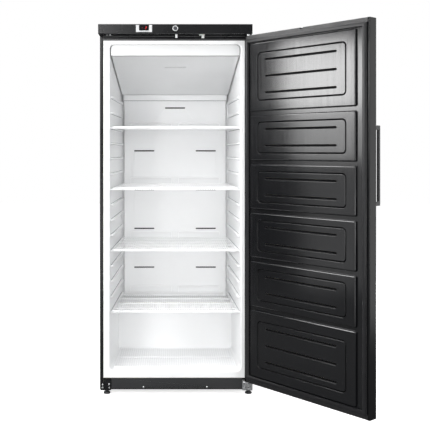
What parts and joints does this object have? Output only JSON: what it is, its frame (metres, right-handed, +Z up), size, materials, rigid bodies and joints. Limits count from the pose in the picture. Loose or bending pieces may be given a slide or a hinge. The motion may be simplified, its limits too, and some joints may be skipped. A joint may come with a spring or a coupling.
{
  "type": "upright freezer",
  "caption": "Upright single-door storage freezer with wire shelves, a canopy with controls and lock, a bar handle and levelling feet, its door standing open.",
  "frame": {"origin": "the middle of the whole footprint, the open door included, at floor level", "axes": "+X to the viewer's right across the front, +Y from the front to the back, +Z up"},
  "size_m": [1.2876, 1.3026, 1.88],
  "materials": {
    "body_black": "satin black powder coat",
    "galvanised_steel": "galvanised sheet",
    "foam": "rigid polyurethane foam",
    "liner_white": "glossy white formed plastic",
    "panel_white": "white coated sheet",
    "cover_grey": "light grey plastic",
    "rail_grey": "dark grey strip",
    "screw_steel": "zinc-plated",
    "bracket_steel": "bright zinc-plated",
    "bezel_grey": "light grey moulding",
    "display_black": "glossy black window",
    "plastic_black": "black moulding",
    "key_grey": "soft grey",
    "chrome": "polished",
    "zinc": "grey casting",
    "nylon_white": "white moulding",
    "coil_aluminium": "mill finish",
    "wire_white": "white epoxy coating",
    "compressor_black": "semi-gloss black",
    "condenser_black": "satin black",
    "tray_plastic": "translucent cream",
    "foot_plastic": "dark grey moulding",
    "door_liner_black": "glossy black formed plastic",
    "gasket_rubber": "soft black extrusion",
    "handle_black": "satin black"
  },
  "bodies": {
    "cabinet": {"outer_shell": "body_black", "back_panel": "body_black", "rear_grille": "body_black", "compartment_wall": "galvanised_steel", "foam_core": "foam", "inner_liner": "liner_white", "front_rail": "rail_grey", "plinth": "body_black", "plinth_screws": "screw_steel", "base_pan": "body_black", "canopy": "body_black", "controller_bezel": "bezel_grey", "display_window": "display_black", "controller_body": "plastic_black", "lock_escutcheon": "chrome", "lock_case": "zinc", "switch_housing": "nylon_white", "evaporator_fascia": "liner_white", "evaporator_cover": "cover_grey", "cover_lip": "liner_white", "duct_panel": "panel_white", "evaporator_coil": "coil_aluminium", "fan_motor": "zinc", "compressor": "compressor_black", "condenser": "condenser_black", "drip_tray": "tray_plastic", "mains_inlet": "plastic_black", "foot_plates": "body_black", "hinge_bracket_bottom": "bracket_steel", "hinge_bracket_top": "body_black", "hinge_pins": "screw_steel", "bracket_screws": "screw_steel"},
    "door": {"door_skin": "body_black", "door_foam": "foam", "door_liner": "door_liner_black", "door_gasket": "gasket_rubber", "door_top_cap": "plastic_black", "door_bottom_cap": "plastic_black", "hinge_bushes": "nylon_white", "handle_bar": "handle_black", "handle_standoffs": "handle_black", "handle_screws": "screw_steel"},
    "key_down": {"key_down": "key_grey"},
    "key_set": {"key_set": "key_grey"},
    "key_up": {"key_up": "key_grey"},
    "lock_barrel": {"lock_barrel": "zinc"},
    "lock_bolt": {"lock_bolt": "nylon_white"},
    "switch_lever": {"switch_lever": "nylon_white"},
    "fan_blade": {"fan_blade": "plastic_black"},
    "shelf_1": {"shelf_1": "wire_white"},
    "shelf_2": {"shelf_2": "wire_white"},
    "shelf_3": {"shelf_3": "wire_white"},
    "shelf_4": {"shelf_4": "wire_white"},
    "floor_grid": {"floor_grid": "wire_white"},
    "foot_front_left": {"foot_front_left": "foot_plastic"},
    "foot_front_right": {"foot_front_right": "foot_plastic"},
    "foot_rear_left": {"foot_rear_left": "foot_plastic"},
    "foot_rear_right": {"foot_rear_right": "foot_plastic"}
  },
  "joints": [
    {"name": "door_hinge", "type": "hinge", "parent": "cabinet", "child": "door", "pos_m": [0.11467, -0.06766, 0.078], "axis": [0, 0, 1], "range_deg": [-130.3, 4.7]},
    {"name": "key_down_press", "type": "slide", "parent": "cabinet", "child": "key_down", "axis": [0, 1, 0], "range_m": [0, 0.001], "stiffness_N_per_m": 300},
    {"name": "key_set_press", "type": "slide", "parent": "cabinet", "child": "key_set", "axis": [0, 1, 0], "range_m": [0, 0.001], "stiffness_N_per_m": 300},
    {"name": "key_up_press", "type": "slide", "parent": "cabinet", "child": "key_up", "axis": [0, 1, 0], "range_m": [0, 0.001], "stiffness_N_per_m": 300},
    {"name": "lock_turn", "type": "hinge", "parent": "cabinet", "child": "lock_barrel", "pos_m": [-0.25533, -0.08466, 1.858], "axis": [0, 1, 0], "range_deg": [0, 90]},
    {"name": "lock_bolt_slide", "type": "slide", "parent": "cabinet", "child": "lock_bolt", "axis": [0, 0, -1], "range_m": [0, 0.01]},
    {"name": "switch_press", "type": "hinge", "parent": "cabinet", "child": "switch_lever", "pos_m": [-0.11983, -0.04366, 1.842], "axis": [1, 0, 0], "range_deg": [0, 14], "stiffness_Nm_per_rad": 0.02},
    {"name": "fan_spin", "type": "hinge", "parent": "cabinet", "child": "fan_blade", "pos_m": [-0.25533, 0.49334, 1.69], "axis": [0, 1, 0], "continuous": true},
    {"name": "shelf_1_slide", "type": "slide", "parent": "cabinet", "child": "shelf_1", "axis": [0, -1, 0], "range_m": [0, 0.3]},
    {"name": "shelf_2_slide", "type": "slide", "parent": "cabinet", "child": "shelf_2", "axis": [0, -1, 0], "range_m": [0, 0.3]},
    {"name": "shelf_3_slide", "type": "slide", "parent": "cabinet", "child": "shelf_3", "axis": [0, -1, 0], "range_m": [0, 0.3]},
    {"name": "shelf_4_slide", "type": "slide", "parent": "cabinet", "child": "shelf_4", "axis": [0, -1, 0], "range_m": [0, 0.3]},
    {"name": "floor_grid_slide", "type": "slide", "parent": "cabinet", "child": "floor_grid", "axis": [0, -1, 0], "range_m": [0, 0.3]},
    {"name": "foot_front_left_turn", "type": "hinge", "parent": "cabinet", "child": "foot_front_left", "pos_m": [-0.60533, -0.01266, 0], "axis": [0, 0, 1], "range_deg": [-360, 360]},
    {"name": "foot_front_right_turn", "type": "hinge", "parent": "cabinet", "child": "foot_front_right", "pos_m": [0.11967, -0.01266, 0], "axis": [0, 0, 1], "range_deg": [-360, 360]},
    {"name": "foot_rear_left_turn", "type": "hinge", "parent": "cabinet", "child": "foot_rear_left", "pos_m": [-0.60533, 0.58234, 0], "axis": [0, 0, 1], "range_deg": [-360, 360]},
    {"name": "foot_rear_right_turn", "type": "hinge", "parent": "cabinet", "child": "foot_rear_right", "pos_m": [0.09467, 0.58234, 0], "axis": [0, 0, 1], "range_deg": [-360, 360]}
  ],
  "couplings": [
    {"joint": "lock_turn", "follows": "lock_bolt_slide", "rad_per_m": 157.08}
  ]
}
